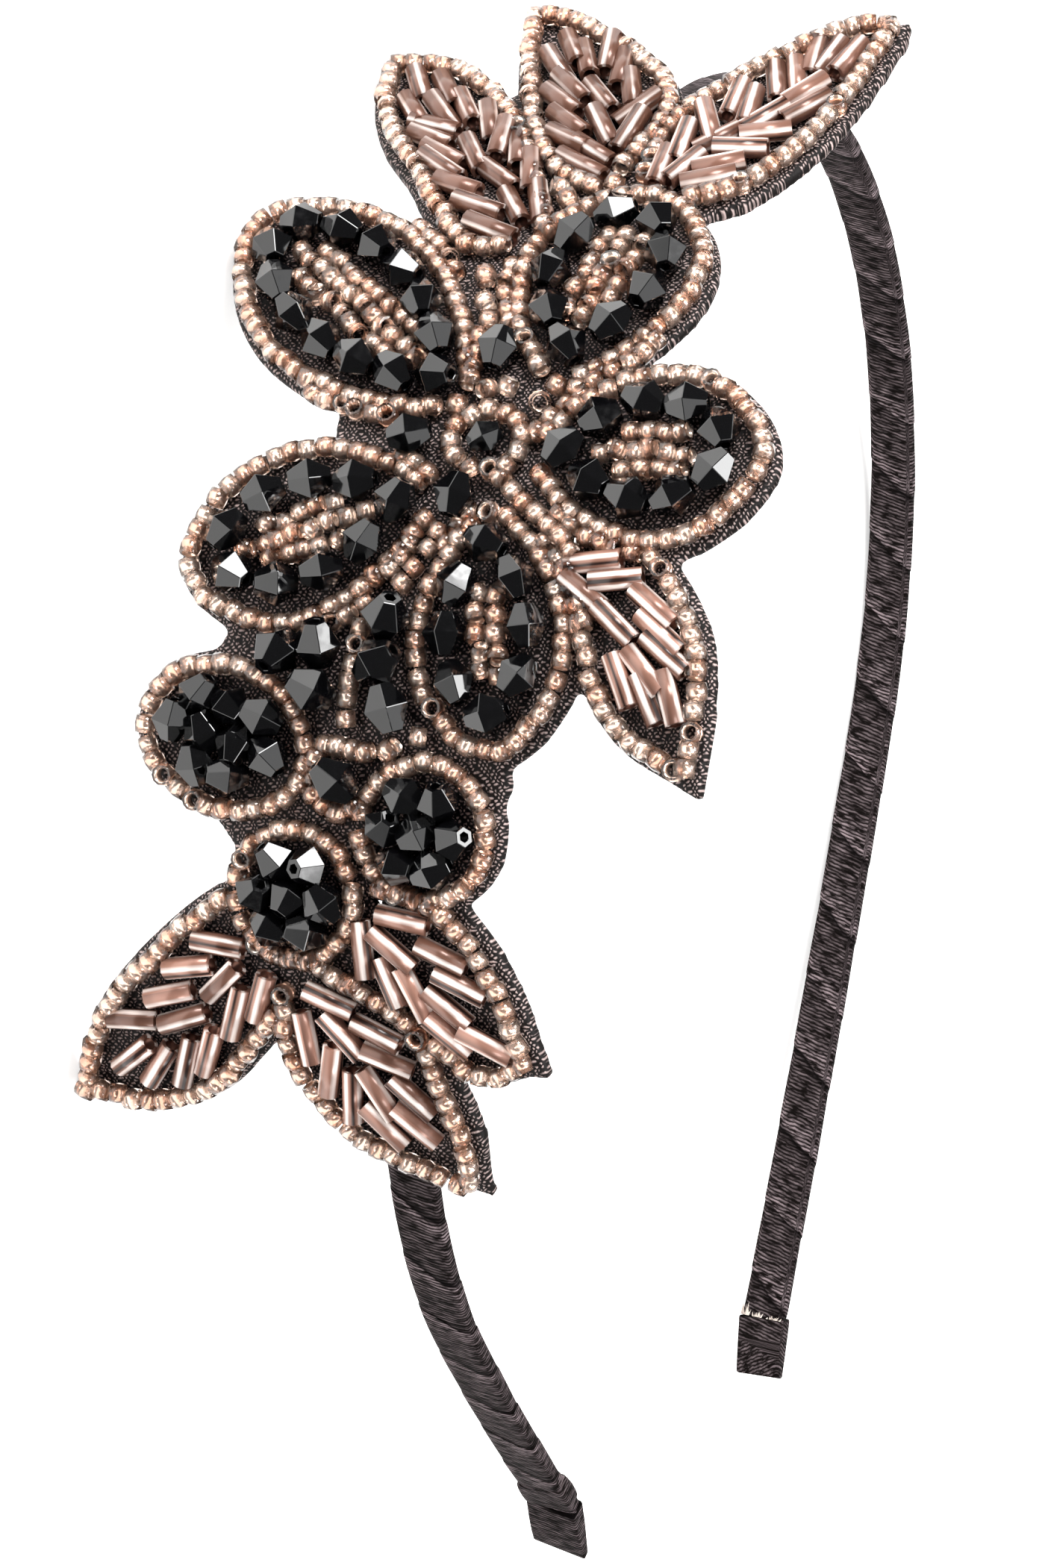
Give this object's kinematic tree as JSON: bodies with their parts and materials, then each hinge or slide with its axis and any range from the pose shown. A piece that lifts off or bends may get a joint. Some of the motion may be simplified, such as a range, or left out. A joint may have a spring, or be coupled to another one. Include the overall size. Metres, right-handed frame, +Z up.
{
  "type": "flapper headband",
  "caption": "Open C-shaped ribbon-wrapped headband with a beaded flower-and-leaf applique sewn to one side, lying on its side; it springs over the head from ear to ear.",
  "frame": {"origin": "centre of the bounding box on the surface that the headband lies on", "axes": "+Z up from that surface, +Y towards the top of the head as worn, +X from the decorated side towards the plain side"},
  "size_m": [0.1432, 0.1642, 0.0633],
  "materials": {
    "satin_ribbon": "black satin ribbon wound on the band",
    "felt_backing": "black satin-faced felt",
    "rose_seed_glass": "silver-lined rose seed beads",
    "rose_bugle_glass": "silver-lined rose bugle beads",
    "jet_crystal": "cut and polished jet-black glass"
  },
  "bodies": {
    "root": {"ribbon_band": "satin_ribbon", "near_end_ribbon": "satin_ribbon", "far_end_ribbon": "satin_ribbon", "backing": "felt_backing", "petal_top_left_outline": "rose_seed_glass", "petal_top_left_crystals": "jet_crystal", "petal_top_left_seeds": "rose_seed_glass", "petal_top_right_outline": "rose_seed_glass", "petal_top_right_crystals": "jet_crystal", "petal_top_right_seeds": "rose_seed_glass", "petal_right_outline": "rose_seed_glass", "petal_right_crystals": "jet_crystal", "petal_right_seeds": "rose_seed_glass", "petal_left_outline": "rose_seed_glass", "petal_left_crystals": "jet_crystal", "petal_left_seeds": "rose_seed_glass", "petal_bottom_outline": "rose_seed_glass", "petal_bottom_crystals": "jet_crystal", "petal_bottom_seeds": "rose_seed_glass", "leaf_top_left_outline": "rose_seed_glass", "leaf_top_left_bugles": "rose_bugle_glass", "leaf_top_middle_outline": "rose_seed_glass", "leaf_top_middle_bugles": "rose_bugle_glass", "leaf_top_right_outline": "rose_seed_glass", "leaf_top_right_bugles": "rose_bugle_glass", "leaf_side_outline": "rose_seed_glass", "leaf_side_bugles": "rose_bugle_glass", "leaf_bottom_left_outline": "rose_seed_glass", "leaf_bottom_left_bugles": "rose_bugle_glass", "leaf_bottom_middle_outline": "rose_seed_glass", "leaf_bottom_middle_bugles": "rose_bugle_glass", "leaf_bottom_right_outline": "rose_seed_glass", "leaf_bottom_right_bugles": "rose_bugle_glass", "berry_left_outline": "rose_seed_glass", "berry_left_crystals": "jet_crystal", "berry_middle_outline": "rose_seed_glass", "berry_middle_crystals": "jet_crystal", "berry_right_outline": "rose_seed_glass", "berry_right_crystals": "jet_crystal", "flower_centre_outline": "rose_seed_glass", "flower_centre_crystal": "jet_crystal", "stem_crystals_left": "jet_crystal", "stem_crystals_middle": "jet_crystal", "stem_crystal_low": "jet_crystal", "stem_seeds_upper": "rose_seed_glass", "stem_seeds_lower": "rose_seed_glass"}
  },
  "joints": []
}
